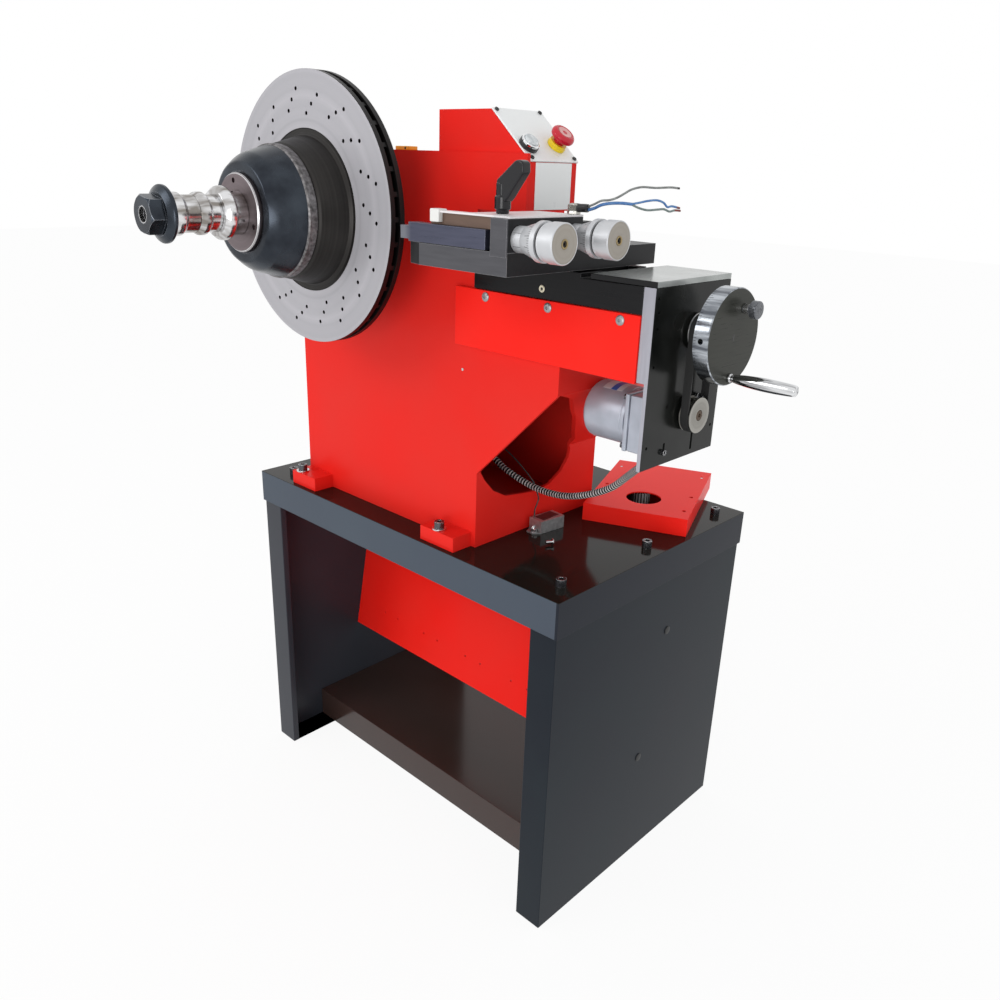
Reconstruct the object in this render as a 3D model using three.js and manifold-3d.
// Bench brake lathe on a sheet-steel stand, with a ventilated brake disc clamped on its arbor.
// Millimetres, +Z up, -Y is the front that the arbor points to, +X is the handwheel end.
// Every place is first set from the stand's near right foot, with z from the floor. The whole group is
// moved at the end so that its origin is the bottom centre of its box.
import * as THREE from "three";
import { mergeVertices } from "three/addons/utils/BufferGeometryUtils.js";
import Module from "manifold-3d";

const wasm = await Module();
wasm.setup();

// Clearances and the sides that round things are cut with
const fit = 0.3; // between two pieces that touch
const overrun = 6; // how far a cut runs past the face that it opens
const roundSides = 32;
const smallSides = 16;
const holeSides = 8;

// Stand: two bent end panels under a folded cap, a tray shelf on the floor and a red tool board
const stand = {
  length: 823,
  depth: 565,
  height: 665,
  sheet: 3,
  skirt: 66,
  flange: 55,
  lip: 14,
  holeRadius: 5,
  upperHole: { y: 331, z: 489 },
  lowerHole: { y: 277, z: 230 },
};
const shelf = { front: 118, height: 69 };
const board = {
  front: 235,
  bottom: 212,
  rise: 380,
  tilt: THREE.MathUtils.degToRad(9.6),
  holeRadius: 2.5,
  holePairs: 4,
  pairPitch: 92,
  pairGap: 46,
  firstHole: 96,
  holeHeight: 60,
};

// Casting: a tall box, a lower arm with a slanted underside, and a thin front plate above the slide
const body = {
  left: -722,
  front: 50,
  depth: 326,
  wall: 6,
  floor: 8,
  height: 647,
  boxWidth: 377,
  baseWidth: 488,
  armReach: 168,
  slantBottom: 138,
  slantTop: 306,
  shoulderDrop: 200,
  plateReach: 575,
  plateHeight: 82,
  notchGap: 1,
  slotWidth: 45,
  slotHeight: 38,
};
// Side view of the opening: across as shares of the depth, up as shares of the height where the
// slanted underside starts, then of the slant's own rise
const openingLowShares = [
  [0.06, 0.88],
  [0.13, 0.7],
  [0.23, 0.57],
  [0.385, 0.52],
  [0.5, 0.49],
  [0.6, 0.53],
  [0.7, 0.66],
  [0.76, 0.83],
  [0.77, 0.96],
];
const openingSlantShares = [
  [0.73, 0.12],
  [0.6, 0.31],
  [0.45, 0.54],
  [0.33, 0.69],
  [0.18, 0.9],
];
const foot = { reach: 44, height: 27, leftWidth: 76, rightInset: 10, rightWidth: 84, screwInset: 12 };
const footScrew = {
  headRadius: 9,
  headHeight: 12,
  socketRadius: 5,
  socketDepth: 6,
  shankRadius: 6,
  washerRadius: 13,
  washerThickness: 2.5,
  bite: 16,
};
const backCover = {
  thickness: 3,
  louvres: 5,
  louvreWidth: 150,
  louvreHeight: 8,
  louvrePitch: 26,
  firstLouvre: 90,
};

// Control box behind the front plate, with a slanted white panel
const control = {
  gap: 4,
  below: 80,
  above: 60,
  flatWidth: 112,
  slantWidth: 82,
  slantDrop: 72,
  depth: 106,
  sheet: 2,
  panel: 2.5,
  panelLip: 2,
};
const startButton = { down: 79, across: 16, bezelRadius: 15, bezelHeight: 6, capRadius: 12, capHeight: 10 };
const stopButton = {
  down: 77,
  across: 80,
  collarRadius: 15,
  collarHeight: 9,
  headRadius: 20,
  headHeight: 15,
  stemRadius: 8,
  travel: 5,
  press: 5,
};
const pressTravel = 4;

// Spindle, across from the casting's left side and down from its top
const spindle = {
  across: 212,
  drop: 99,
  radius: 24,
  arborRadius: 12,
  flangeRadius: 60,
  flangeThickness: 20,
  noseGap: 4,
  arborEnd: -350,
  rearEnd: 345,
  bossRadius: 62,
  bossLength: 34,
  bearingRadius: 45,
  bearingWidth: 22,
  webFront: 280,
  webThickness: 16,
  webBottom: 455,
};
const drive = {
  motorAcross: 162,
  motorHeight: 165,
  motorRadius: 70,
  motorFront: 100,
  motorLength: 190,
  shaftRadius: 12,
  footHalf: 60,
  footThickness: 10,
  pulleyFront: 305,
  pulleyWidth: 30,
  bigPulley: 86,
  smallPulley: 38,
  grooveDepth: 8,
  beltThickness: 7,
  terminalHalf: 36,
};

// Brake disc and what clamps it on the arbor, from the body outwards
const disc = {
  face: -78,
  thickness: 27,
  radius: 211,
  innerRadius: 124,
  plate: 9,
  vents: 36,
  rib: 7,
  hatReach: 50,
  hatRadius: 109,
  hatRoot: 117,
  hatWall: 9,
  centreHole: 34,
};
const innerCone = { rimRadius: 88, rimWidth: 14, neckRadius: 42 };
const bell = {
  front: -198,
  rimRadius: 99,
  rimWidth: 16,
  midRadius: 88,
  shoulderRadius: 80,
  shoulderDepth: 8,
  faceRadius: 74,
  wall: 12,
};
const bellRing = {
  thickness: 8,
  radius: 58,
  holes: 3,
  firstHole: THREE.MathUtils.degToRad(97),
  holeRadius: 4,
  holeCircle: 47,
};
const innerSpacer = { name: "inner_spacer", length: 39, bulge: 39.5, end: 33 };
const spacer = { middleLength: 35, outerLength: 42, bulge: 31, end: 27 };
const spacers = [
  innerSpacer,
  { ...spacer, name: "middle_spacer", length: spacer.middleLength },
  { ...spacer, name: "outer_spacer", length: spacer.outerLength },
];
const spacerShares = { nose: 0.06, crest: 0.2, crestEnd: 0.42, shoulder: 0.55 };
const nut = { flangeRadius: 41, flangeThickness: 12, hexRadius: 28, hexLength: 22, bevel: 3, boreRadius: 14 };

// Cross slide: base on the casting's shoulder, carriage, tool head with two arms, dials and clamp lever.
// From here to the gland, x runs from the end of the casting's arm.
const slide = {
  left: -179,
  front: 45,
  width: 160,
  height: 45,
  grooveFront: 95,
  grooveWidth: 90,
  grooveDepth: 34,
  seatStart: 33,
  seatDrop: 7,
};
const frontCover = { left: -218, right: 141, height: 93.5, drop: 0.5, depth: 8, sheet: 2.5 };
const saddle = {
  right: 30,
  left: -138,
  noseLeft: -165,
  noseFront: -99,
  front: -106,
  middle: 46,
  back: 229,
  rearLeft: -64,
  thickness: 30,
  ride: 3,
  discSlotFront: -88,
  discSlotBack: -41,
  discSlotEnd: -56,
  tenonLeft: -60,
  tenonRight: 14,
  tenonDepth: 17,
  nutGap: 2,
  nutWidth: 26,
  nutLength: 36,
  nutDrop: 14,
  travelLeft: 140,
  travelRight: 10,
};
const head = {
  left: -54,
  wallLeft: 1,
  right: 30,
  front: -108,
  shelfFront: -78,
  back: 46,
  rearLeft: -37,
  rear: 67,
  rearDrop: 6,
  shelf: 6,
  channel: 24,
  bridge: 12,
  lip: 6,
};
const arm = {
  tip: -179,
  step: -162,
  right: -10,
  height: 26,
  thickness: 19,
  tipDrop: 5,
  tipLift: 3,
  carrierLeft: -42,
  carrierReach: 22,
  travel: 8,
  frontFace: -106,
  backFace: -23,
};
const topPlate = {
  thickness: 2.5,
  tongueLeft: -115,
  tongueFront: -104,
  tongueBack: -87,
  barFront: -99,
  barLeft: -122,
};
const lever = {
  x: -18,
  y: -66,
  baseRadius: 11,
  baseHeight: 26,
  studRadius: 5,
  studLength: 14,
  armLength: 41,
  armRise: 34,
  armWidth: 16,
  armThickness: 14,
};
const dial = {
  frontY: -84,
  rearY: 28.6,
  height: 17,
  sleeveRadius: 17,
  sleeveLength: 16,
  coneStart: 18,
  coneEnd: 25,
  coneLength: 22,
  ringRadius: 26,
  ringWidth: 8,
  grooveRadius: 23,
  grooveWidth: 3,
  barrelRadius: 24,
  barrelWidth: 9,
  headRadius: 26,
  headWidth: 18,
  socketRadius: 4,
  socketDepth: 6,
};

// Feed drive on the plate at the end of the slide
const feed = { y: 153, screwDrop: 229, pulleyDrop: 120.4 };
const gearPlate = {
  left: 142,
  thickness: 19,
  webThickness: 6,
  front: 45,
  back: 238,
  topDrop: 162,
  height: 257,
  thickHeight: 130,
  slotY: 174,
  slotRise: 8,
  slotHeight: 28,
  slotWidth: 5,
  keyY: 102,
  keyRise: 18,
  keyRadius: 5,
  keySlot: 14,
};
const topCover = { left: 49, front: 47, thickness: 8 };
const feedMotor = {
  canRadius: 46,
  canLength: 80,
  boxLength: 72.7,
  boxHalf: 45,
  drop: 24.6,
  shaftRadius: 6,
  glandRadius: 10,
  glandLength: 8,
  glandX: 112,
  glandY: 127,
};
const pulley = {
  gap: 4,
  radius: 24,
  flangeRadius: 26.5,
  flange: 2.2,
  width: 19,
  teeth: 16,
  toothDepth: 1.6,
};
const belt = { thickness: 2.4, width: 13 };
const screw = { radius: 8, left: -196, inset: 2, collarRadius: 12 };
const wheel = {
  gap: 15,
  thickness: 24,
  radius: 68,
  hubRadius: 22,
  rimHoleRadius: 4,
  rimHoleDepth: 14,
};
const crank = {
  drop: 57,
  rootRadius: 5,
  midRadius: 9.5,
  endRadius: 8.5,
  tipRadius: 6.8,
  length: 102,
  pinRadius: 4,
  pinLength: 10,
};
const crankShares = { neck: 0.12, swell: 0.55, end: 0.97 };
const clutch = {
  across: 20,
  rise: 38,
  shaftRadius: 6,
  shaftLength: 12,
  knobRadius: 12.5,
  knobLength: 11,
  sink: 14,
};

// Loose and flexible pieces
const gland = {
  x: 19,
  y: 38,
  radius: 8,
  height: 13,
  nutRadius: 9.5,
  nutHeight: 4,
  thickness: 10,
  length: 22,
  lean: THREE.MathUtils.degToRad(80),
};
const lead = { radius: 1.6, jacket: 2.1, sides: 8 };
const twoCoreRoute = [
  [-24.6, 41.9, 1242],
  [-16, 43.4, 1244.6],
  [-5, 44.5, 1249.5],
  [5, 52, 1252],
  [14, 65, 1252.5],
  [22, 77, 1251.5],
];
const blueRoute = [
  [21, 75.5, 1251.5],
  [26, 87, 1253.5],
  [31, 100, 1256],
  [37, 114, 1257],
  [41, 124, 1254],
  [43, 131, 1248.5],
  [45, 138, 1249.5],
  [48, 154, 1247],
];
const brownRoute = [
  [21, 75.5, 1251.5],
  [26, 89, 1246.5],
  [31, 102, 1244],
  [37, 117, 1245],
  [41, 126, 1245.5],
  [44, 136, 1242.5],
  [46, 145, 1244],
  [49, 155, 1243.5],
];
const greyRoute = [
  [-24.6, 41.9, 1246.6],
  [-16, 43, 1250],
  [-5, 44, 1254.9],
  [3, 50, 1256],
  [9, 58, 1259],
  [14, 69, 1265],
  [18, 78, 1270],
  [24, 93, 1273.5],
  [33, 113, 1273],
  [43, 138, 1274],
  [48, 149, 1273],
];
const conduit = {
  radius: 6.6,
  valley: 5.4,
  bore: 3.8,
  end: 13.5,
  ribCount: 80,
  ringSides: 8,
  boreStepCount: 5,
};
const conduitRoute = [
  [-396, 190, 800],
  [-382.5, 190, 800],
  [-340, 188, 786],
  [-290, 186, 764],
  [-234, 189, 749],
  [-190, 188, 747],
  [-145, 184, 754],
  [-90, 178, 774],
  [-40, 171, 802],
  [0, 156, 836],
  [32, 136, 862],
  [46, 127, 871.2],
  [46, 127, 884.7],
];
// How much of the gear motor's place each of those points follows
const conduitFollowShares = [0, 0, 0, 0, 0, 0, 0, 0.2, 0.45, 0.75, 1, 1, 1];
const guard = {
  reach: 81,
  y: 466,
  turn: THREE.MathUtils.degToRad(22.5),
  length: 287,
  width: 198,
  height: 34,
  sheet: 2.5,
  holeY: 65,
  holeRadius: 34,
  screwRadius: 4,
  screwInset: 14,
};
// Screw holes down the guard's two long sides, as shares of the way from its middle to its ends
const guardScrewShares = { left: [0.8, -0.14], right: [0.8, -0.17, -0.79] };
const loosePulley = {
  across: -20,
  back: 3,
  radius: 20,
  height: 22,
  boreRadius: 8,
  teeth: 20,
  toothDepth: 2,
};
const plug = {
  reach: 26,
  y: 212,
  turn: THREE.MathUtils.degToRad(-6),
  width: 32,
  length: 58,
  height: 24,
  lug: 14,
  lugThickness: 3,
  lugHole: 4,
};
const plugWire = { radius: 1.4, sides: 8 };
const plugRoute = [
  [-395.7, 212, 814],
  [-380, 212, 814],
  [-340, 207, 804],
  [-290, 202, 787],
  [-260, 201, 770],
  [-242, 201, 757],
  [-231, 202, 744],
  [-227.5, 204, 731],
  [-226.5, 207, 720],
  [-227, 204, 710],
  [-225.5, 197, 701],
  [-221.5, 192, 695.5],
  [-221.5, 191.5, 689.6],
];

// Heights that pieces share
const tableTop = stand.height;
const bodyTop = tableTop + body.height;
const plateBottom = bodyTop - body.plateHeight;
const shoulderTop = bodyTop - body.shoulderDrop;
const slideTop = shoulderTop + slide.height;
const saddleBottom = slideTop + saddle.ride;
const saddleTop = saddleBottom + saddle.thickness;
const shelfTop = saddleTop + fit + head.shelf;
const channelTop = shelfTop + head.channel;
const headTop = channelTop + head.bridge;
const plateTop = headTop + fit + topPlate.thickness;
const armBottom = saddleTop + 2 * fit;
const armTop = armBottom + arm.height;
const dialHeight = saddleTop + dial.height;
const screwHeight = bodyTop - feed.screwDrop;
const pulleyHeight = screwHeight - feed.pulleyDrop;
const motorHeight = pulleyHeight - feedMotor.drop;
const gearPlateTop = bodyTop - gearPlate.topDrop;
const gearPlateBottom = gearPlateTop - gearPlate.height;

// Places that pieces share, across and along
const axis = { x: body.left + spindle.across, z: bodyTop - spindle.drop };
const motor = { x: body.left + drive.motorAcross, z: tableTop + drive.motorHeight };
const controlTop = bodyTop + control.above;
const bodyBack = body.front + body.depth;
const footScrewY = body.front - foot.reach + foot.screwInset + fit;
const boxRight = body.left + body.boxWidth;
const controlLeft = boxRight + control.gap;
const plateRight = body.left + body.plateReach;
const baseRight = body.left + body.baseWidth;
const armRight = baseRight + body.armReach;
const plateInside = body.front + body.wall;
const slideLeft = armRight + slide.left;
const gearPlateRight = gearPlate.left + gearPlate.thickness;
const gearWebLeft = gearPlateRight - gearPlate.webThickness;
const pulleyLeft = gearPlateRight + pulley.gap;
const pulleyRight = pulleyLeft + pulley.width;
const wheelBack = pulleyRight + wheel.gap;
const wheelFace = wheelBack + wheel.thickness;

// A closed three.js geometry as a solid
function solidOf(geometry) {
  const bare = geometry.clone();
  bare.deleteAttribute("normal");
  bare.deleteAttribute("uv");
  const merged = mergeVertices(bare, 1e-4);
  return new wasm.Manifold(
    new wasm.Mesh({
      numProp: 3,
      vertProperties: merged.attributes.position.array,
      triVerts: new Uint32Array(merged.index.array),
    }),
  );
}

function box(x0, x1, y0, y1, z0, z1) {
  const shape = new THREE.BoxGeometry(x1 - x0, y1 - y0, z1 - z0);
  return solidOf(shape.translate((x0 + x1) / 2, (y0 + y1) / 2, (z0 + z1) / 2));
}

// An outline in two of the axes, pushed along the third
function prism(along, points, from, to) {
  const shape = new THREE.Shape(points.map(([a, b]) => new THREE.Vector2(a, b)));
  const geometry = new THREE.ExtrudeGeometry(shape, { depth: to - from, bevelEnabled: false });
  geometry.translate(0, 0, from);
  if (along === "x") {
    geometry.applyMatrix4(
      new THREE.Matrix4().makeBasis(
        new THREE.Vector3(0, 1, 0),
        new THREE.Vector3(0, 0, 1),
        new THREE.Vector3(1, 0, 0),
      ),
    );
  }
  if (along === "y") {
    geometry.scale(1, 1, -1);
    geometry.index = null;
    geometry.rotateX(Math.PI / 2);
    return solidOf(turnedInsideOut(geometry));
  }
  return solidOf(geometry);
}

// The same surface with each triangle's corners in the other order
function turnedInsideOut(geometry) {
  const flat = geometry.index ? geometry.toNonIndexed() : geometry;
  const p = flat.attributes.position.array;
  for (let i = 0; i < p.length; i += 9) {
    for (let k = 0; k < 3; k += 1) {
      [p[i + 3 + k], p[i + 6 + k]] = [p[i + 6 + k], p[i + 3 + k]];
    }
  }
  return flat;
}

// A profile of [radius, place along the axis] turned round an axis through a point
function turned(along, profile, a, b, sides = roundSides) {
  const points = profile.map(([r, t]) => new THREE.Vector2(r, t));
  const geometry = new THREE.LatheGeometry(points, sides);
  if (along === "x") geometry.rotateZ(-Math.PI / 2).translate(0, a, b);
  if (along === "y") geometry.translate(a, 0, b);
  if (along === "z") geometry.rotateX(Math.PI / 2).translate(a, b, 0);
  return solidOf(geometry);
}

function rod(along, radius, from, to, a, b, sides = roundSides) {
  return turned(along, [[0, from], [radius, from], [radius, to], [0, to]], a, b, sides);
}

// Radius of a bore whose flats stay clear of a round piece that turns in it
function boreRound(radius, sides = smallSides) {
  return (radius + fit) / Math.cos(Math.PI / sides);
}

function ring(along, inner, outer, from, to, a, b, sides = roundSides) {
  return rod(along, outer, from, to, a, b, sides).subtract(
    rod(along, inner, from - overrun, to + overrun, a, b, sides),
  );
}

// A toothed disc's outline, as radii that step in and out
function toothed(radius, depth, teeth) {
  const outline = [];
  const quarter = (2 * Math.PI) / teeth / 4;
  for (let i = 0; i < 4 * teeth; i += 1) {
    const r = i % 4 < 2 ? radius : radius - depth;
    outline.push([r * Math.cos(i * quarter), r * Math.sin(i * quarter)]);
  }
  return outline;
}

const around = (count) => Array.from({ length: count }, (_, i) => (2 * Math.PI * i) / count);

const paint = {
  red: { color: 0xc8201a, roughness: 0.25, metalness: 0.1 },
  black: { color: 0x17191b, roughness: 0.35, metalness: 0.2 },
  slate: { color: 0x353e47, roughness: 0.4, metalness: 0.2 },
  grey: { color: 0x55585f, roughness: 0.45, metalness: 0.5 },
  silver: { color: 0xb9bcc0, roughness: 0.3, metalness: 0.9 },
  chrome: { color: 0xd6d8da, roughness: 0.1, metalness: 1 },
  iron: { color: 0x6c6663, roughness: 0.5, metalness: 0.8 },
  blued: { color: 0x23292f, roughness: 0.35, metalness: 0.6 },
  rubber: { color: 0x141414, roughness: 0.8, metalness: 0 },
  white: { color: 0xf0f1f2, roughness: 0.5, metalness: 0 },
  yellow: { color: 0xe8c81c, roughness: 0.4, metalness: 0 },
  stop: { color: 0xd31f2c, roughness: 0.35, metalness: 0 },
  blue: { color: 0x3f6fae, roughness: 0.5, metalness: 0 },
  cable: { color: 0x77797d, roughness: 0.6, metalness: 0 },
};

const machine = new THREE.Group();

function place(name, solid, colour) {
  const mesh = solid.getMesh();
  const geometry = new THREE.BufferGeometry();
  geometry.setAttribute("position", new THREE.BufferAttribute(mesh.vertProperties.slice(), 3));
  geometry.setIndex(new THREE.BufferAttribute(mesh.triVerts.slice(), 1));
  geometry.computeVertexNormals();
  const piece = new THREE.Mesh(geometry, new THREE.MeshStandardMaterial(paint[colour]));
  piece.name = name;
  machine.add(piece);
}

// The same for a piece whose x runs from the end of the casting's arm
function placeOnArm(name, solid, colour) {
  place(name, fromArm(solid), colour);
}

function fromArm(solid) {
  return solid.translate([armRight, 0, 0]);
}

function makeTable() {
  const out = fit + stand.sheet;
  const roof = tableTop - stand.sheet;
  const skirtBottom = tableTop - stand.skirt;
  const cap = box(-stand.length - out, out, -out, stand.depth + out, skirtBottom, tableTop);
  const under = box(-stand.length - fit, fit, -fit, stand.depth + fit, skirtBottom - overrun, roof);
  let top = cap.subtract(under);
  for (const x of footScrewPlaces()) {
    top = top.subtract(
      rod("z", footScrew.shankRadius + fit, roof - overrun, tableTop + overrun, x, footScrewY, smallSides),
    );
  }
  place("table_top", top, "black");
  place("left_end_panel", endPanel(-stand.length, 1), "slate");
  let right = endPanel(0, -1);
  for (const hole of [stand.upperHole, stand.lowerHole]) {
    right = right.subtract(
      rod("x", stand.holeRadius, -stand.flange / 2, overrun, hole.y, hole.z, holeSides),
    );
  }
  place("right_end_panel", right, "slate");
}

// One sheet bent to a flange at the front and the back, each with a lip turned in again
function endPanel(outside, inward) {
  const s = stand.sheet * inward;
  const f = outside + stand.flange * inward;
  const outline = [
    [outside, 0],
    [f, 0],
    [f, stand.lip],
    [f - s, stand.lip],
    [f - s, stand.sheet],
    [outside + s, stand.sheet],
    [outside + s, stand.depth - stand.sheet],
    [f - s, stand.depth - stand.sheet],
    [f - s, stand.depth - stand.lip],
    [f, stand.depth - stand.lip],
    [f, stand.depth],
    [outside, stand.depth],
  ];
  const height = tableTop - stand.sheet - fit;
  return prism("z", inward > 0 ? outline : outline.reverse(), 0, height);
}

function makeShelf() {
  const left = -stand.length + stand.sheet + fit;
  const right = -stand.sheet - fit;
  const back = stand.depth - stand.lip - fit;
  const outer = box(left, right, shelf.front, back, 0, shelf.height);
  const inner = box(
    left - overrun,
    right + overrun,
    shelf.front + stand.sheet,
    back - stand.sheet,
    -overrun,
    shelf.height - stand.sheet,
  );
  place("lower_shelf", outer.subtract(inner), "black");
}

function makeBoard() {
  const left = -stand.length + stand.sheet + fit;
  const right = -stand.sheet - fit;
  const run = board.rise * Math.tan(board.tilt);
  const thick = stand.sheet / Math.cos(board.tilt);
  const outline = [
    [board.front, board.bottom],
    [board.front + run, board.bottom + board.rise],
    [board.front + run + thick, board.bottom + board.rise],
    [board.front + thick, board.bottom],
  ];
  let sheet = prism("x", outline.reverse(), left, right);
  const z = board.bottom + board.holeHeight;
  for (let i = 0; i < board.holePairs; i += 1) {
    for (const dx of [0, board.pairGap]) {
      const x = left + board.firstHole + i * (board.pairPitch + board.pairGap) + dx;
      sheet = sheet.subtract(
        rod("y", board.holeRadius, board.front - overrun, board.front + run, x, z, holeSides),
      );
    }
  }
  place("tool_board", sheet, "red");
}

function footScrewPlaces() {
  return [
    body.left + foot.screwInset + footScrew.washerRadius / 2,
    baseRight - foot.rightInset - foot.rightWidth / 2 - foot.screwInset / 2,
  ];
}

// Front view of the casting's main block, drawn inwards by a wall
function bodyOutline(inset, floor) {
  const slope = inset * Math.tan(Math.PI / 8);
  return [
    [body.left + inset, tableTop + fit + floor],
    [baseRight - inset, tableTop + fit + floor],
    [baseRight - inset, tableTop + body.slantBottom + slope],
    [armRight - inset, tableTop + body.slantTop + slope],
    [armRight - inset, shoulderTop - inset],
    [boxRight - inset, shoulderTop - inset],
    [boxRight - inset, bodyTop - inset],
    [body.left + inset, bodyTop - inset],
  ];
}

// Round opening that runs down the slanted underside, behind the front wall
function bodyOpening() {
  const rise = body.slantTop - body.slantBottom;
  const across = (share) => body.front + body.depth * share;
  const outline = [
    [plateInside, tableTop + body.slantTop],
    [plateInside, tableTop + body.slantBottom + body.wall],
    ...openingLowShares.map(([a, up]) => [across(a), tableTop + body.slantBottom * up]),
    ...openingSlantShares.map(([a, up]) => [across(a), tableTop + body.slantBottom + rise * up]),
  ];
  return prism("x", outline, baseRight - 3 * body.wall, armRight + overrun);
}

function makeBody() {
  const outer = prism("y", bodyOutline(0, 0), body.front, bodyBack);
  const inner = prism("y", bodyOutline(body.wall, body.floor), plateInside, bodyBack + overrun);
  const web = box(
    body.left + body.wall / 2,
    boxRight - body.wall / 2,
    spindle.webFront,
    spindle.webFront + spindle.webThickness,
    tableTop + spindle.webBottom,
    bodyTop - body.wall / 2,
  );
  const boss = rod(
    "y",
    spindle.bossRadius,
    plateInside - fit,
    plateInside + spindle.bossLength,
    axis.x,
    axis.z,
  );
  const plate = box(
    boxRight - body.wall,
    plateRight,
    body.front,
    plateInside,
    plateBottom,
    bodyTop,
  );
  const notch = slideLeft - body.notchGap;
  const lowPlate = box(
    boxRight - body.wall,
    notch,
    body.front,
    plateInside,
    shoulderTop - body.wall,
    plateBottom + fit,
  );
  let casting = outer.subtract(inner).add(web).add(boss).add(plate).add(lowPlate);
  casting = casting.subtract(
    box(
      slideLeft - body.slotWidth,
      notch + overrun,
      body.front - overrun,
      plateInside + overrun,
      slideTop,
      slideTop + body.slotHeight,
    ),
  );
  const bearing = spindle.bearingRadius + fit;
  casting = casting
    .subtract(rod("y", boreRound(spindle.radius), 0, bodyBack, axis.x, axis.z, smallSides))
    .subtract(
      rod(
        "y",
        bearing,
        plateInside + spindle.bossLength - spindle.bearingWidth,
        plateInside + spindle.bossLength + overrun,
        axis.x,
        axis.z,
        smallSides,
      ),
    )
    .subtract(
      rod(
        "y",
        bearing,
        spindle.webFront - overrun,
        spindle.webFront + spindle.webThickness + overrun,
        axis.x,
        axis.z,
        smallSides,
      ),
    )
    .subtract(bodyOpening())
    .subtract(
      fromArm(
        nutSlot(
          saddle.tenonLeft - saddle.travelLeft - overrun,
          shoulderTop - 2 * body.wall,
          shoulderTop + overrun,
        ),
      ),
    )
    .subtract(
      rod("x", screw.radius + fit, armRight - 2 * body.wall, armRight + overrun, feed.y, screwHeight),
    );
  for (const [x0, x1] of footSpans()) {
    casting = casting.add(
      box(x0, x1, body.front - foot.reach, body.front + fit, tableTop + fit, tableTop + foot.height),
    );
  }
  for (const x of footScrewPlaces()) {
    casting = casting.subtract(
      rod(
        "z",
        footScrew.shankRadius + fit,
        tableTop - overrun,
        tableTop + foot.height + overrun,
        x,
        footScrewY,
        smallSides,
      ),
    );
  }
  place("headstock_body", casting, "red");
  makeFootScrews();
  makeBackCover();
}

function footSpans() {
  const right = baseRight - foot.rightInset;
  return [
    [body.left, body.left + foot.leftWidth],
    [right - foot.rightWidth, right],
  ];
}

// Socket-head screw with its washer, through the foot and the table top
function makeFootScrews() {
  const names = ["left_foot_screw", "right_foot_screw"];
  const seat = tableTop + foot.height + fit;
  const under = seat + footScrew.washerThickness;
  const head = under + footScrew.headHeight;
  footScrewPlaces().forEach((x, i) => {
    const profile = [
      [0, seat - foot.height - footScrew.bite],
      [footScrew.shankRadius, seat - foot.height - footScrew.bite],
      [footScrew.shankRadius, seat],
      [footScrew.washerRadius, seat],
      [footScrew.washerRadius, under],
      [footScrew.headRadius, under],
      [footScrew.headRadius, head],
      [footScrew.socketRadius, head],
      [footScrew.socketRadius, head - footScrew.socketDepth],
      [0, head - footScrew.socketDepth],
    ];
    place(names[i], turned("z", profile, x, footScrewY, smallSides), "black");
  });
}

function makeBackCover() {
  const front = bodyBack + fit;
  const back = front + backCover.thickness;
  let sheet = prism("y", bodyOutline(0, 0), front, back);
  const middle = body.left + body.boxWidth / 2;
  for (let i = 0; i < backCover.louvres; i += 1) {
    const z = tableTop + backCover.firstLouvre + i * backCover.louvrePitch;
    sheet = sheet.subtract(
      box(
        middle - backCover.louvreWidth / 2,
        middle + backCover.louvreWidth / 2,
        front - overrun,
        back + overrun,
        z,
        z + backCover.louvreHeight,
      ),
    );
  }
  place("back_cover", sheet, "red");
}

// Front view of the control box, drawn inwards by its sheet
function controlOutline(inset) {
  const left = controlLeft + inset;
  const right = plateRight - fit - inset;
  const bottom = bodyTop - control.below + inset;
  return [
    [left, bottom],
    [right, bottom],
    [right, controlTop - control.slantDrop - inset / 2],
    [controlLeft + control.flatWidth - inset / 2, controlTop - inset],
    [left, controlTop - inset],
  ];
}

// A point on the white panel: down the slant from its top edge, across from its front edge,
// and out along its normal
const slant = new THREE.Vector3(control.slantWidth, 0, -control.slantDrop).normalize();
const slantNormal = new THREE.Vector3(-slant.z, 0, slant.x);
const controlFront = plateInside + fit;
const panelTop = new THREE.Vector3(controlLeft + control.flatWidth, controlFront, controlTop);

// A solid modelled about +Z at the origin, stood on the panel
function onPanel(solid, down, across) {
  const turn = Math.atan2(slantNormal.x, slantNormal.z);
  const foot = panelTop
    .clone()
    .addScaledVector(slant, down)
    .addScaledVector(slantNormal, fit + control.panel + fit);
  return solid.rotate([0, THREE.MathUtils.radToDeg(turn), 0]).translate([foot.x, foot.y + across, foot.z]);
}

function makeControlBox() {
  const back = controlFront + control.depth;
  const outer = prism("y", controlOutline(0), controlFront, back);
  const inner = prism("y", controlOutline(control.sheet), controlFront + control.sheet, back - control.sheet);
  const length = Math.hypot(control.slantWidth, control.slantDrop) - 2 * fit;
  let shell = outer.subtract(inner);
  let panel = box(0, length, 0, control.depth + control.panelLip, fit, fit + control.panel);
  const turn = Math.atan2(-slant.z, slant.x);
  panel = panel
    .rotate([0, THREE.MathUtils.radToDeg(turn), 0])
    .translate([panelTop.x + slant.x * fit, panelTop.y, panelTop.z + slant.z * fit]);
  const bores = [
    [startButton.capRadius + fit, startButton],
    [stopButton.stemRadius + fit, stopButton],
  ];
  for (const [radius, button] of bores) {
    const reach = stopButton.collarHeight + control.sheet;
    const bore = onPanel(
      rod("z", radius, -reach, reach, 0, 0, smallSides),
      button.down,
      button.across,
    );
    shell = shell.subtract(bore);
    panel = panel.subtract(bore);
  }
  place("control_box", shell, "red");
  place("control_panel", panel, "white");
}

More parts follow.
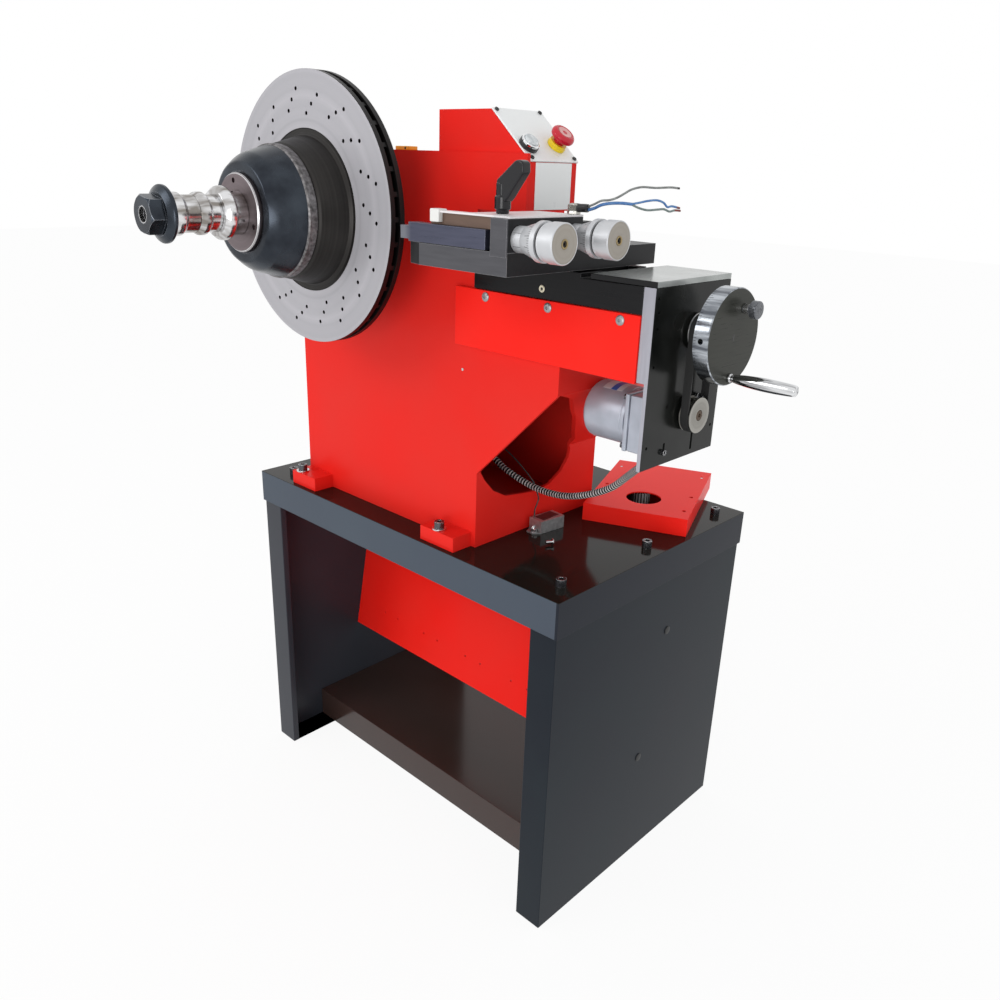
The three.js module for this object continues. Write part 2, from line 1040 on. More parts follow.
function makeButtons() {
  const bezel = ring(
    "z",
    startButton.capRadius + fit,
    startButton.bezelRadius,
    0,
    startButton.bezelHeight,
    0,
    0,
    smallSides,
  );
  place("start_bezel", onPanel(bezel, startButton.down, startButton.across), "chrome");
  const cap = rod("z", startButton.capRadius, -pressTravel, startButton.capHeight, 0, 0, smallSides);
  place("start_cap", onPanel(cap, startButton.down, startButton.across), "white");
  const collar = ring(
    "z",
    stopButton.stemRadius + fit,
    stopButton.collarRadius,
    0,
    stopButton.collarHeight,
    0,
    0,
    smallSides,
  );
  place("stop_collar", onPanel(collar, stopButton.down, stopButton.across), "yellow");
  const under = stopButton.collarHeight + stopButton.press + fit;
  const top = under + stopButton.headHeight;
  const mushroom = [
    [0, -stopButton.press],
    [stopButton.stemRadius, -stopButton.press],
    [stopButton.stemRadius, under],
    [stopButton.collarRadius, under],
    [stopButton.headRadius, under + stopButton.headHeight / 2],
    [stopButton.headRadius, under + (stopButton.headHeight * 3) / 4],
    [stopButton.collarRadius, top],
    [0, top],
  ];
  place(
    "stop_mushroom",
    onPanel(turned("z", mushroom, 0, 0, smallSides), stopButton.down, stopButton.across),
    "stop",
  );
}

// Where each piece on the arbor starts, going out from the disc
const hatFace = disc.face - disc.hatReach;
const bellRim = hatFace - fit;
const ringBack = bell.front - fit;
const ringFront = ringBack - bellRing.thickness;
const arborGap = spindle.radius + fit;

function spacerStarts() {
  const starts = [];
  let next = ringFront - fit;
  for (const { length } of spacers) {
    starts.push(next);
    next -= length + fit;
  }
  return { starts, end: next };
}

function makeSpindle() {
  const flangeBack = body.front - spindle.noseGap;
  const flangeFront = flangeBack - spindle.flangeThickness;
  const threadStart = spacerStarts().end;
  const profile = [
    [0, spindle.arborEnd],
    [spindle.arborRadius, spindle.arborEnd],
    [spindle.arborRadius, threadStart + fit],
    [spindle.radius, threadStart + fit],
    [spindle.radius, flangeFront],
    [spindle.flangeRadius, flangeFront],
    [spindle.flangeRadius, flangeBack],
    [spindle.radius, flangeBack],
    [spindle.radius, spindle.rearEnd],
    [0, spindle.rearEnd],
  ];
  place("spindle", turned("y", profile, axis.x, axis.z, smallSides), "silver");
  const bearings = [
    ["front_bearing", plateInside + spindle.bossLength - spindle.bearingWidth + fit, spindle.bearingWidth],
    ["rear_bearing", spindle.webFront, spindle.webThickness],
  ];
  for (const [name, from, width] of bearings) {
    place(
      name,
      ring(
        "y",
        boreRound(spindle.radius),
        spindle.bearingRadius,
        from,
        from + width - fit,
        axis.x,
        axis.z,
        smallSides,
      ),
      "silver",
    );
  }
}

// V-groove pulley profile on a bore
function groovedPulley(radius, bore, x, z) {
  const from = drive.pulleyFront;
  const to = from + drive.pulleyWidth;
  const middle = (from + to) / 2;
  const side = drive.pulleyWidth / 3;
  const deep = radius - drive.grooveDepth;
  const profile = [
    [bore, from],
    [radius, from],
    [radius, middle - side],
    [deep, middle - side / 2],
    [deep, middle + side / 2],
    [radius, middle + side],
    [radius, to],
    [bore, to],
    [bore, from],
  ];
  return turned("y", profile, x, z, smallSides);
}

function makeDrive() {
  const back = drive.motorFront + drive.motorLength;
  const footTop = tableTop + fit + body.floor + fit + drive.footThickness;
  const solid = rod("y", drive.motorRadius, drive.motorFront, back, motor.x, motor.z)
    .add(
      box(
        motor.x - drive.footHalf,
        motor.x + drive.footHalf,
        drive.motorFront + drive.footHalf / 2,
        back - drive.footHalf / 2,
        footTop - drive.footThickness,
        motor.z,
      ),
    )
    .add(
      box(
        motor.x,
        conduitRoute[0][0] - fit,
        conduitRoute[0][1] - drive.terminalHalf,
        conduitRoute[0][1] + drive.terminalHalf,
        conduitRoute[0][2] - drive.terminalHalf / 2,
        conduitRoute[0][2] + drive.terminalHalf,
      ),
    )
    .add(
      rod(
        "y",
        drive.shaftRadius,
        back - fit,
        drive.pulleyFront + drive.pulleyWidth,
        motor.x,
        motor.z,
        smallSides,
      ),
    );
  place("drive_motor", solid, "slate");
  place("spindle_pulley", groovedPulley(drive.bigPulley, spindle.radius + fit, axis.x, axis.z), "iron");
  place(
    "motor_pulley",
    groovedPulley(drive.smallPulley, boreRound(drive.shaftRadius), motor.x, motor.z),
    "iron",
  );
  const inner = drive.grooveDepth - 4 * fit;
  const loop = (grow) =>
    beltOutline(
      [axis.x, axis.z, drive.bigPulley - inner + grow],
      [motor.x, motor.z, drive.smallPulley - inner + grow],
    );
  const middle = drive.pulleyFront + drive.pulleyWidth / 2;
  const half = drive.pulleyWidth / 6 - fit;
  const belt = prism("y", loop(drive.beltThickness), middle - half, middle + half).subtract(
    prism("y", loop(0), middle - half - overrun, middle + half + overrun),
  );
  place("drive_belt", belt, "rubber");
}

// Outline of a belt round two pulleys, each given as its centre and radius, the upper one first
function beltOutline([xa, za, ra], [xb, zb, rb]) {
  const span = Math.hypot(xa - xb, za - zb);
  const up = Math.atan2(za - zb, xa - xb);
  const open = Math.acos((rb - ra) / span);
  const outline = [];
  const steps = roundSides / 2;
  const arc = (x, z, r, from, to) => {
    for (let i = 0; i <= steps; i += 1) {
      const t = from + ((to - from) * i) / steps;
      outline.push([x + r * Math.cos(t), z + r * Math.sin(t)]);
    }
  };
  arc(xa, za, ra, up - open, up + open);
  arc(xb, zb, rb, up + open, up + 2 * Math.PI - open);
  return outline;
}

function makeDisc() {
  const back = disc.face + disc.thickness;
  const hatInside = hatFace + disc.hatWall;
  const profile = [
    [disc.centreHole, hatFace],
    [disc.hatRadius, hatFace],
    [disc.hatRoot, disc.face],
    [disc.innerRadius, disc.face],
    [disc.radius, disc.face],
    [disc.radius, back],
    [disc.innerRadius, back],
    [disc.hatRoot, back],
    [disc.hatRadius - disc.hatWall, hatInside + disc.hatWall],
    [disc.hatRadius - disc.hatWall, hatInside],
    [disc.centreHole, hatInside],
    [disc.centreHole, hatFace],
  ];
  let rotor = turned("y", profile, axis.x, axis.z);
  rotor = rotor.subtract(ventSlots());
  place("brake_disc", rotor, "silver");
}

// Radial slots between the two friction plates, as one solid
function ventSlots() {
  const from = disc.face + disc.plate;
  const to = disc.face + disc.thickness - disc.plate;
  let slots = ring("y", disc.innerRadius + disc.rib, disc.radius + overrun, from, to, axis.x, axis.z);
  const middle = (disc.innerRadius + disc.radius) / 2;
  const half = disc.radius - middle + 2 * overrun;
  for (const turn of around(disc.vents)) {
    const rib = new THREE.BoxGeometry(2 * half, to - from + overrun, disc.rib);
    rib.translate(middle, (from + to) / 2, 0).rotateY(turn).translate(axis.x, 0, axis.z);
    slots = slots.subtract(solidOf(rib));
  }
  return slots;
}

function makeClamps() {
  const hatInside = hatFace + disc.hatWall + fit;
  const flangeFront = body.front - spindle.noseGap - spindle.flangeThickness;
  const cone = [
    [arborGap, hatInside],
    [innerCone.rimRadius, hatInside],
    [innerCone.rimRadius, hatInside + innerCone.rimWidth],
    [innerCone.neckRadius, hatInside + 2 * innerCone.rimWidth],
    [innerCone.neckRadius, flangeFront - fit],
    [arborGap, flangeFront - fit],
    [arborGap, hatInside],
  ];
  place("inner_cone", turned("y", cone, axis.x, axis.z), "blued");
  const shoulder = bell.front + bell.shoulderDepth;
  const hollow = bell.front + bell.wall;
  const cup = [
    [arborGap, bell.front],
    [bell.faceRadius, bell.front],
    [bell.shoulderRadius, shoulder],
    [bell.midRadius, shoulder + bell.shoulderDepth],
    [bell.rimRadius, bellRim - bell.rimWidth],
    [bell.rimRadius, bellRim],
    [bell.rimRadius - bell.wall, bellRim],
    [bell.midRadius - bell.wall, hollow + bell.wall],
    [bell.faceRadius - bell.wall, hollow],
    [arborGap, hollow],
    [arborGap, bell.front],
  ];
  place("clamp_bell", turned("y", cup, axis.x, axis.z), "blued");
  let face = ring("y", arborGap, bellRing.radius, ringFront, ringBack, axis.x, axis.z);
  for (const turn of around(bellRing.holes)) {
    face = face.subtract(
      rod(
        "y",
        bellRing.holeRadius,
        ringFront - overrun,
        ringBack + overrun,
        axis.x + bellRing.holeCircle * Math.cos(turn + bellRing.firstHole),
        axis.z + bellRing.holeCircle * Math.sin(turn + bellRing.firstHole),
        holeSides,
      ),
    );
  }
  place("bell_ring", face, "iron");
}

// Barrel spacers: a wide rounded band with a shoulder at each end
function makeSpacers() {
  const { starts, end } = spacerStarts();
  spacers.forEach(({ name, length, bulge, end: neck }, i) => {
    const near = starts[i];
    const far = near - length;
    const at = (share) => far + length * share;
    const profile = [
      [arborGap, far],
      [neck, far],
      [(bulge + neck) / 2, at(spacerShares.nose)],
      [bulge, at(spacerShares.crest)],
      [bulge, at(spacerShares.crestEnd)],
      [neck, at(spacerShares.shoulder)],
      [neck, near],
      [arborGap, near],
      [arborGap, far],
    ];
    place(name, turned("y", profile, axis.x, axis.z), "chrome");
  });
  const seat = end;
  const flangeFront = seat - nut.flangeThickness;
  const hexFront = flangeFront - nut.hexLength;
  const flange = turned(
    "y",
    [
      [0, flangeFront],
      [nut.hexRadius, flangeFront],
      [nut.flangeRadius, seat - nut.flangeThickness / 2],
      [nut.flangeRadius, seat],
      [0, seat],
    ],
    axis.x,
    axis.z,
  );
  const hexProfile = [
    [0, hexFront],
    [nut.hexRadius - nut.bevel, hexFront],
    [nut.hexRadius, hexFront + nut.bevel],
    [nut.hexRadius, flangeFront + fit],
    [0, flangeFront + fit],
  ];
  const hex = turned("y", hexProfile, axis.x, axis.z, 6);
  const bore = rod("y", spindle.arborRadius + fit, hexFront - overrun, seat + overrun, axis.x, axis.z);
  place("arbor_nut", flange.add(hex).subtract(bore), "blued");
}

// Slot that lets the nut hang from the carriage down to the feed screw
function nutSlot(left, bottom, top) {
  const half = saddle.nutWidth / 2 + saddle.nutGap;
  const right = saddle.tenonLeft + saddle.nutLength + saddle.travelRight + saddle.ride;
  return box(left, right, feed.y - half, feed.y + half, bottom, top);
}

function makeSlideBase() {
  const bottom = shoulderTop + fit;
  const right = gearPlate.left - fit;
  const back = slide.front + slide.width;
  const groove = slideTop - slide.grooveDepth;
  const grooveBack = slide.grooveFront + slide.grooveWidth;
  const bed = box(slide.left, right, slide.front, back, bottom, slideTop)
    .subtract(
      box(
        slide.left - overrun,
        right + overrun,
        slide.grooveFront,
        grooveBack,
        groove,
        slideTop + overrun,
      ),
    )
    .subtract(
      box(
        slide.seatStart,
        right + overrun,
        slide.front - overrun,
        back + overrun,
        slideTop - slide.seatDrop,
        slideTop + overrun,
      ),
    )
    .subtract(nutSlot(slide.left - overrun, bottom - overrun, groove + overrun));
  placeOnArm("slide_base", bed, "black");
}

function makeFrontCover() {
  const back = body.front - fit;
  const front = back - frontCover.depth;
  const top = shoulderTop - frontCover.drop;
  const bottom = top - frontCover.height;
  const tray = box(frontCover.left, frontCover.right, front, back, bottom, top).subtract(
    box(
      frontCover.left + frontCover.sheet,
      frontCover.right - frontCover.sheet,
      front + frontCover.sheet,
      back + overrun,
      bottom + frontCover.sheet,
      top - frontCover.sheet,
    ),
  );
  placeOnArm("front_cover", tray, "red");
}

// Carriage: plate with a slot that the disc's rim passes through, a tenon in the slide's groove and a
// nut on the feed screw
function makeSaddle() {
  const plan = [
    [saddle.left, saddle.front],
    [saddle.right, saddle.front],
    [saddle.right, saddle.back],
    [saddle.rearLeft, saddle.back],
    [saddle.rearLeft, saddle.middle],
    [saddle.noseLeft, saddle.middle],
    [saddle.noseLeft, saddle.noseFront],
  ];
  const bottom = saddleBottom;
  const grooveBack = slide.grooveFront + slide.grooveWidth;
  const tenonBottom = slideTop - saddle.tenonDepth;
  let plate = prism("z", plan, bottom, saddleTop)
    .subtract(
      box(
        saddle.noseLeft - overrun,
        saddle.discSlotEnd,
        saddle.discSlotFront,
        saddle.discSlotBack,
        bottom - overrun,
        saddleTop + overrun,
      ),
    )
    .add(
      box(
        saddle.tenonLeft,
        saddle.tenonRight,
        slide.grooveFront + fit,
        grooveBack - fit,
        tenonBottom,
        bottom + fit,
      ),
    );
  const nutRight = saddle.tenonLeft + saddle.nutLength;
  plate = plate
    .add(
      box(
        saddle.tenonLeft,
        nutRight,
        feed.y - saddle.nutWidth / 2,
        feed.y + saddle.nutWidth / 2,
        screwHeight - saddle.nutDrop,
        tenonBottom + fit,
      ),
    )
    .subtract(
      rod("x", screw.radius + fit, saddle.tenonLeft - overrun, nutRight + overrun, feed.y, screwHeight),
    );
  placeOnArm("saddle", plate, "grey");
}

// Tool head: a shelf and a bridge with a cross channel between them, closed by the wall that holds the dials
function makeHead() {
  const bottom = saddleTop + fit;
  let block = box(head.left, head.wallLeft + fit, head.shelfFront, head.back, bottom, shelfTop)
    .add(box(head.left, head.wallLeft + fit, head.shelfFront, head.back, channelTop, headTop))
    .add(box(head.wallLeft, head.right, head.front, head.back, bottom, headTop))
    .add(box(head.rearLeft, head.right, head.back - fit, head.rear, bottom, headTop - head.rearDrop))
    .add(
      box(
        head.wallLeft,
        head.right,
        head.front,
        saddle.front - fit,
        bottom - head.lip,
        bottom + fit,
      ),
    );
  block = block
    .subtract(
      box(
        head.left - overrun,
        arm.right + 2 * fit,
        arm.backFace - arm.thickness - arm.travel - 2 * fit,
        arm.backFace + arm.travel + 2 * fit,
        bottom - overrun,
        shelfTop + overrun,
      ),
    )
    .subtract(
      rod("z", lever.studRadius + fit, channelTop - overrun, headTop + overrun, lever.x, lever.y, smallSides),
    );
  placeOnArm("tool_head", block, "black");
}

// An arm's bar lies outside the head, with a stepped tip, and its carrier runs in the head's channel
function toolArm(near) {
  const far = near + arm.thickness;
  const tipBottom = armBottom + arm.tipLift;
  return box(arm.step, arm.right, near, far, armBottom, armTop)
    .add(box(arm.tip, arm.step + fit, near, far, tipBottom, armTop - arm.tipDrop))
    .add(box(arm.carrierLeft, arm.right, far - fit, far + arm.carrierReach, shelfTop + fit, armTop));
}

function makeArms() {
  placeOnArm("front_tool_arm", toolArm(arm.frontFace), "slate");
  placeOnArm("rear_tool_arm", toolArm(arm.backFace - arm.thickness), "slate");
  const under = headTop + fit;
  const cover = box(head.left, head.right, topPlate.tongueFront, head.back, under, plateTop)
    .add(
      box(
        topPlate.tongueLeft,
        head.left + fit,
        topPlate.tongueFront,
        topPlate.tongueBack,
        under,
        plateTop,
      ),
    )
    .add(
      box(
        topPlate.barLeft,
        head.wallLeft - fit,
        topPlate.barFront,
        topPlate.tongueBack,
        armTop + fit,
        under + fit,
      ),
    )
    .subtract(
      rod("z", lever.studRadius + fit, under - overrun, plateTop + overrun, lever.x, lever.y, smallSides),
    );
  placeOnArm("head_plate", cover, "silver");
}

// Clamp lever: a stud through the plate and the bridge, and a handle that rises to the right
function makeLever() {
  const base = plateTop + fit;
  const post = turned(
    "z",
    [
      [0, base - lever.studLength],
      [lever.studRadius, base - lever.studLength],
      [lever.studRadius, base],
      [lever.baseRadius, base],
      [lever.baseRadius, base + lever.baseHeight],
      [0, base + lever.baseHeight],
    ],
    lever.x,
    lever.y,
    smallSides,
  );
  const half = lever.armThickness / 2;
  const top = base + lever.baseHeight;
  const outline = [
    [lever.x - lever.baseRadius / 2, top - half],
    [lever.x + lever.baseRadius, top - lever.armThickness],
    [lever.x + lever.armLength, top + lever.armRise - half],
    [lever.x + lever.armLength - half / 2, top + lever.armRise + half],
    [lever.x + lever.armLength - lever.armThickness, top + lever.armRise + half],
    [lever.x - lever.baseRadius / 2, top + half],
  ];
  const handle = prism("y", outline, lever.y - lever.armWidth / 2, lever.y + lever.armWidth / 2);
  placeOnArm("clamp_lever", post.add(handle), "black");
}

// Micrometer dials: a fixed sleeve on the head's wall and a stepped knob that turns on its end
function makeDials() {
  const places = [
    ["front", dial.frontY],
    ["rear", dial.rearY],
  ];
  for (const [side, y] of places) {
    const root = head.right + fit;
    const sleeveEnd = root + dial.sleeveLength;
    placeOnArm(
      `${side}_dial_sleeve`,
      rod("x", dial.sleeveRadius, root, sleeveEnd, y, dialHeight, smallSides),
      "silver",
    );
    const start = sleeveEnd + fit;
    const coneEnd = start + dial.coneLength;
    const ringEnd = coneEnd + dial.ringWidth;
    const grooveEnd = ringEnd + dial.grooveWidth;
    const barrelEnd = grooveEnd + dial.barrelWidth;
    const face = barrelEnd + dial.headWidth;
    const profile = [
      [0, start],
      [dial.coneStart, start],
      [dial.coneEnd, coneEnd],
      [dial.ringRadius, coneEnd],
      [dial.ringRadius, ringEnd],
      [dial.grooveRadius, ringEnd],
      [dial.grooveRadius, grooveEnd],
      [dial.barrelRadius, grooveEnd],
      [dial.barrelRadius, barrelEnd],
      [dial.headRadius, barrelEnd],
      [dial.headRadius, face],
      [dial.socketRadius, face],
      [dial.socketRadius, face - dial.socketDepth],
      [0, face - dial.socketDepth],
    ];
    placeOnArm(`${side}_dial`, turned("x", profile, y, dialHeight), "silver");
  }
}

function makeGearPlate() {
  const x0 = gearPlate.left - overrun;
  const x1 = gearPlateRight + overrun;
  let plate = box(
    gearPlate.left,
    gearPlateRight,
    gearPlate.front,
    gearPlate.back,
    gearPlateBottom,
    gearPlateTop,
  );
  const cut = (shape) => {
    plate = plate.subtract(shape);
  };
  cut(
    box(
      x0,
      gearWebLeft,
      gearPlate.front - overrun,
      gearPlate.back + overrun,
      gearPlateBottom - overrun,
      gearPlateTop - gearPlate.thickHeight,
    ),
  );
  cut(rod("x", screw.collarRadius + fit, x0, x1, feed.y, screwHeight, smallSides));
  cut(rod("x", feedMotor.shaftRadius + fit, x0, x1, feed.y, pulleyHeight, smallSides));
  const slotBottom = gearPlateBottom + gearPlate.slotRise;
  cut(
    box(
      x0,
      x1,
      gearPlate.slotY,
      gearPlate.slotY + gearPlate.slotWidth,
      slotBottom,
      slotBottom + gearPlate.slotHeight,
    ),
  );
  const keyHeight = gearPlateBottom + gearPlate.keyRise;
  cut(rod("x", gearPlate.keyRadius, x0, x1, gearPlate.keyY, keyHeight, holeSides));
  cut(
    box(
      x0,
      x1,
      gearPlate.keyY - gearPlate.slotWidth / 2,
      gearPlate.keyY + gearPlate.slotWidth / 2,
      keyHeight,
      keyHeight + gearPlate.keySlot,
    ),
  );
  placeOnArm("gear_plate", plate, "black");
  const coverBottom = gearPlateTop + fit;
  placeOnArm(
    "gear_top_cover",
    box(
      topCover.left,
      gearPlateRight,
      topCover.front,
      gearPlate.back,
      coverBottom,
      coverBottom + topCover.thickness,
    ),
    "grey",
  );
}

// Gear motor: a round can and a square gearbox whose shaft sits above its middle
function makeFeedMotor() {
  const right = gearWebLeft - fit;
  const left = right - feedMotor.boxLength;
  const bottom = motorHeight - feedMotor.boxHalf;
  const solid = rod("x", feedMotor.canRadius, left - feedMotor.canLength, left + fit, feed.y, motorHeight)
    .add(
      box(
        left,
        right,
        feed.y - feedMotor.boxHalf,
        feed.y + feedMotor.boxHalf,
        bottom,
        motorHeight + feedMotor.boxHalf,
      ),
    )
    .add(
      rod(
        "x",
        feedMotor.shaftRadius,
        right - fit,
        pulleyRight,
        feed.y,
        pulleyHeight,
        smallSides,
      ),
    )
    .add(
      rod(
        "z",
        feedMotor.glandRadius,
        bottom - feedMotor.glandLength,
        bottom + fit,
        feedMotor.glandX,
        feedMotor.glandY,
        smallSides,
      ),
    );
  placeOnArm("feed_motor", solid, "grey");
}

// Toothed belt pulley with a flange at each side
function timingPulley(bore, z) {
  const inner = toothed(pulley.radius, pulley.toothDepth, pulley.teeth).map(([a, b]) => [
    feed.y + a,
    z + b,
  ]);
  return prism("x", inner, pulleyLeft, pulleyRight)
    .add(rod("x", pulley.flangeRadius, pulleyLeft, pulleyLeft + pulley.flange, feed.y, z))
    .add(rod("x", pulley.flangeRadius, pulleyRight - pulley.flange, pulleyRight, feed.y, z))
    .subtract(rod("x", bore, pulleyLeft - overrun, pulleyRight + overrun, feed.y, z, smallSides));
}

function makeFeedDrive() {
  placeOnArm("lower_feed_pulley", timingPulley(boreRound(feedMotor.shaftRadius), pulleyHeight), "silver");
  placeOnArm("upper_feed_pulley", timingPulley(screw.radius + fit, screwHeight), "silver");
  const middle = (pulleyLeft + pulleyRight) / 2;
  const half = belt.width / 2;
  const loop = (radius) =>
    beltOutline([feed.y, screwHeight, radius], [feed.y, pulleyHeight, radius]);
  const inner = pulley.radius + fit;
  placeOnArm(
    "feed_belt",
    prism("x", loop(inner + belt.thickness), middle - half, middle + half).subtract(
      prism("x", loop(inner), middle - half - overrun, middle + half + overrun),
    ),
    "rubber",
  );
}

function makeFeedScrew() {
  const collarLeft = gearPlate.left + fit;
  const profile = [
    [0, screw.left],
    [screw.radius, screw.left],
    [screw.radius, collarLeft],
    [screw.collarRadius, collarLeft],
    [screw.collarRadius, pulleyLeft - fit],
    [screw.radius, pulleyLeft - fit],
    [screw.radius, wheelFace - screw.inset],
    [0, wheelFace - screw.inset],
  ];
  placeOnArm("feed_screw", turned("x", profile, feed.y, screwHeight, smallSides), "silver");
}

function makeHandwheel() {
  const hubLeft = pulleyRight + fit;
  const bore = screw.radius + fit;
  const profile = [
    [bore, hubLeft],
    [wheel.hubRadius, hubLeft],
    [wheel.hubRadius, wheelBack],
    [wheel.radius, wheelBack],
    [wheel.radius, wheelFace],
    [bore, wheelFace],
    [bore, hubLeft],
  ];
  const crankZ = screwHeight - crank.drop;
  const knobY = feed.y + clutch.across;
  const knobZ = screwHeight + clutch.rise;
  const pocket = (radius, y, z) =>
    rod("x", boreRound(radius), wheelBack + overrun, wheelFace + overrun, y, z, smallSides);
  const disk = turned("x", profile, feed.y, screwHeight)
    .subtract(pocket(crank.pinRadius, feed.y, crankZ))
    .subtract(pocket(clutch.shaftRadius, knobY, knobZ))
    .subtract(
      rod(
        "y",
        wheel.rimHoleRadius,
        feed.y - wheel.radius - overrun,
        feed.y - wheel.radius + wheel.rimHoleDepth,
        (wheelBack + wheelFace) / 2,
        screwHeight,
        holeSides,
      ),
    );
  placeOnArm("handwheel", disk, "chrome");
  const root = wheelFace + fit;
  const along = (share) => root + crank.length * share;
  const handle = [
    [0, root - crank.pinLength],
    [crank.pinRadius, root - crank.pinLength],
    [crank.pinRadius, root],
    [crank.rootRadius, root],
    [crank.rootRadius, along(crankShares.neck)],
    [crank.midRadius, along(crankShares.swell)],
    [crank.endRadius, along(crankShares.end)],
    [crank.tipRadius, along(1)],
    [0, along(1)],
  ];
  placeOnArm("crank_handle", turned("x", handle, feed.y, crankZ, smallSides), "chrome");
  const knobRoot = wheelFace + clutch.shaftLength;
  const knob = [
    [0, wheelFace - clutch.sink],
    [clutch.shaftRadius, wheelFace - clutch.sink],
    [clutch.shaftRadius, knobRoot],
    [clutch.knobRadius, knobRoot],
    [clutch.knobRadius, knobRoot + clutch.knobLength],
    [0, knobRoot + clutch.knobLength],
  ];
  placeOnArm("clutch_knob", turned("x", knob, knobY, knobZ, smallSides), "black");
}

// Cable gland on the tool head: a nut on the block and a sleeve that leans the way the leads leave
function makeGland() {
  const seat = plateTop + fit;
  const post = rod("z", gland.nutRadius, seat, seat + gland.nutHeight, gland.x, gland.y, 6).add(
    rod("z", gland.radius, seat, seat + gland.height, gland.x, gland.y, smallSides),
  );
  const sleeve = solidOf(
    new THREE.CylinderGeometry(gland.thickness / 2, gland.thickness / 2, gland.length, smallSides),
  )
    .translate([0, gland.length / 2, 0])
    .rotate([0, 0, -THREE.MathUtils.radToDeg(gland.lean)])
    .translate([gland.x, gland.y, seat + gland.height - gland.thickness / 2]);
  placeOnArm("cable_gland", post.add(sleeve), "silver");
}

// A round cord along its own points
function cord(points, radius, sides) {
  const curve = new THREE.CatmullRomCurve3(points.map((p) => new THREE.Vector3(...p)));
  const steps = Math.min(80, Math.ceil(curve.getLength() / (8 * radius)));
  const section = around(sides).map((t) => new THREE.Vector2(radius * Math.cos(t), radius * Math.sin(t)));
  const geometry = new THREE.ExtrudeGeometry(new THREE.Shape(section), { steps, extrudePath: curve });
  return solidOf(geometry);
}

function makeLeads() {
  const twoCore = cord(twoCoreRoute, lead.jacket, lead.sides)
    .add(cord(blueRoute, lead.radius, lead.sides))
    .add(cord(brownRoute, lead.radius, lead.sides));
  place("two_core_lead", twoCore, "blue");
  place("grey_lead", cord(greyRoute, lead.radius, lead.sides), "cable");
  place("plug_wire", cord(plugRoute, plugWire.radius, plugWire.sides), "cable");
}

// Ribbed conduit: rings of points along the route, high and low in turn, and a bore through it
function makeConduit() {
  const mouth = new THREE.Vector3(
    armRight + feedMotor.glandX,
    feedMotor.glandY,
    motorHeight - feedMotor.boxHalf - feedMotor.glandLength - fit,
  );
  const shift = mouth.sub(new THREE.Vector3(...conduitRoute.at(-1)));
  const points = conduitRoute.map((p, i) =>
    new THREE.Vector3(...p).addScaledVector(shift, conduitFollowShares[i]),
  );
  const curve = new THREE.CatmullRomCurve3(points, false, "centripetal");
  const length = curve.getLength();
  const frames = 2 * conduit.ribCount;
  const { normals, binormals } = curve.computeFrenetFrames(frames, false);
  const n = conduit.ringSides;
  const position = [];
  const index = [];
  const addRing = (i, radius) => {
    const centre = curve.getPointAt(i / frames);
    for (const t of around(n)) {
      const p = centre
        .clone()
        .addScaledVector(normals[i], radius * Math.cos(t))
        .addScaledVector(binormals[i], radius * Math.sin(t));
      position.push(p.x, p.y, p.z);
    }
  };
  const joinRings = (a, b) => {
    for (let k = 0; k < n; k += 1) {
      const next = (k + 1) % n;
      index.push(a + k, a + next, b + k, a + next, b + next, b + k);
    }
  };
  const outer = [];
  for (let i = 0; i <= frames; i += 1) {
    const plain = (i / frames) * length < conduit.end || (1 - i / frames) * length < conduit.end;
    outer.push(position.length / 3);
    addRing(i, plain || i % 2 === 1 ? conduit.radius : conduit.valley);
  }
  for (let i = 1; i < outer.length; i += 1) {
    joinRings(outer[i - 1], outer[i]);
  }
  const inner = [];
  for (let i = 0; i <= frames; i += 2 * conduit.boreStepCount) {
    inner.push(position.length / 3);
    addRing(i, conduit.bore);
  }
  for (let i = 1; i < inner.length; i += 1) {
    joinRings(inner[i], inner[i - 1]);
  }
  joinRings(inner[0], outer[0]);
  joinRings(outer[outer.length - 1], inner[inner.length - 1]);
  const geometry = new THREE.BufferGeometry();
  geometry.setAttribute("position", new THREE.Float32BufferAttribute(position, 3));
  geometry.setIndex(index);
  place("conduit", solidOf(geometry), "grey");
}

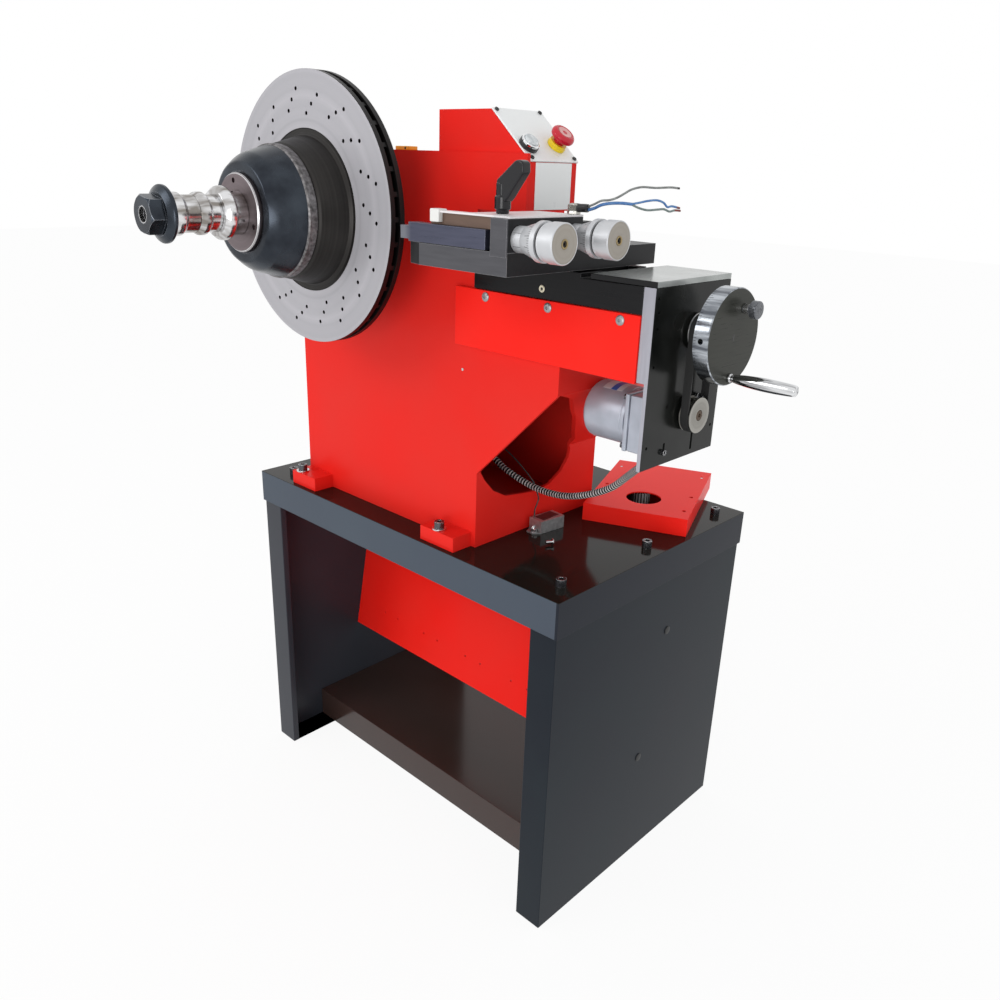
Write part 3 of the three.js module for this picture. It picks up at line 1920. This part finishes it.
// Belt guard that lies on the table with its open side down, and the toothed bush seen through its hole
function makeGuard() {
  const halfLength = guard.length / 2;
  const halfWidth = guard.width / 2;
  const floor = tableTop + fit;
  const top = floor + guard.height;
  let tray = box(-halfWidth, halfWidth, -halfLength, halfLength, floor, top).subtract(
    box(
      -halfWidth + guard.sheet,
      halfWidth - guard.sheet,
      -halfLength + guard.sheet,
      halfLength - guard.sheet,
      floor - overrun,
      top - guard.sheet,
    ),
  );
  const side = halfWidth - guard.screwInset;
  const end = halfLength - guard.screwInset;
  const holes = [
    ...guardScrewShares.left.map((share) => [-side, end * share]),
    ...guardScrewShares.right.map((share) => [side, end * share]),
  ];
  for (const [x, y] of holes) {
    tray = tray.subtract(
      rod("z", guard.screwRadius, top - 2 * overrun, top + overrun, x, y, holeSides),
    );
  }
  tray = tray.subtract(
    rod("z", guard.holeRadius, top - 2 * overrun, top + overrun, 0, -guard.holeY, roundSides),
  );
  const degrees = THREE.MathUtils.radToDeg(guard.turn);
  const x = baseRight + guard.reach;
  place("guard_cover", tray.rotate([0, 0, degrees]).translate([x, guard.y, 0]), "red");
  const bush = prism(
    "z",
    toothed(loosePulley.radius, loosePulley.toothDepth, loosePulley.teeth),
    floor,
    floor + loosePulley.height,
  ).subtract(
    rod("z", loosePulley.boreRadius, floor - overrun, floor + loosePulley.height + overrun, 0, 0, smallSides),
  );
  const centre = new THREE.Vector2(loosePulley.across, loosePulley.back).rotateAround(
    new THREE.Vector2(),
    guard.turn,
  );
  place("loose_pulley", bush.translate([x + centre.x, guard.y + centre.y, 0]), "silver");
}

// Loose connector on the table, with a pierced lug at its front
function makePlug() {
  const floor = tableTop + fit;
  const halfWidth = plug.width / 2;
  const halfLength = plug.length / 2;
  const shell = box(-halfWidth, halfWidth, -halfLength, halfLength, floor, floor + plug.height);
  const lug = prism(
    "z",
    [
      [-plug.lug / 2, -halfLength - plug.lug],
      [plug.lug / 2, -halfLength - plug.lug],
      [halfWidth, -halfLength + fit],
      [-halfWidth, -halfLength + fit],
    ],
    floor,
    floor + plug.lugThickness,
  ).subtract(
    rod(
      "z",
      plug.lugHole,
      floor - overrun,
      floor + plug.lugThickness + overrun,
      0,
      -halfLength - plug.lug / 2,
      holeSides,
    ),
  );
  const degrees = THREE.MathUtils.radToDeg(plug.turn);
  const x = baseRight + plug.reach;
  place("connector", shell.add(lug).rotate([0, 0, degrees]).translate([x, plug.y, 0]), "grey");
}

makeTable();
makeShelf();
makeBoard();
makeBody();
makeControlBox();
makeButtons();
makeSpindle();
makeDrive();
makeDisc();
makeClamps();
makeSpacers();
makeSlideBase();
makeFrontCover();
makeSaddle();
makeHead();
makeArms();
makeLever();
makeDials();
makeGearPlate();
makeFeedMotor();
makeFeedDrive();
makeFeedScrew();
makeHandwheel();
makeGland();
makeLeads();
makeConduit();
makeGuard();
makePlug();

const bounds = new THREE.Box3().setFromObject(machine);
const middle = bounds.getCenter(new THREE.Vector3());
machine.position.set(-middle.x, -middle.y, -bounds.min.z);
const lathe = new THREE.Group();
lathe.add(machine);

export default lathe;
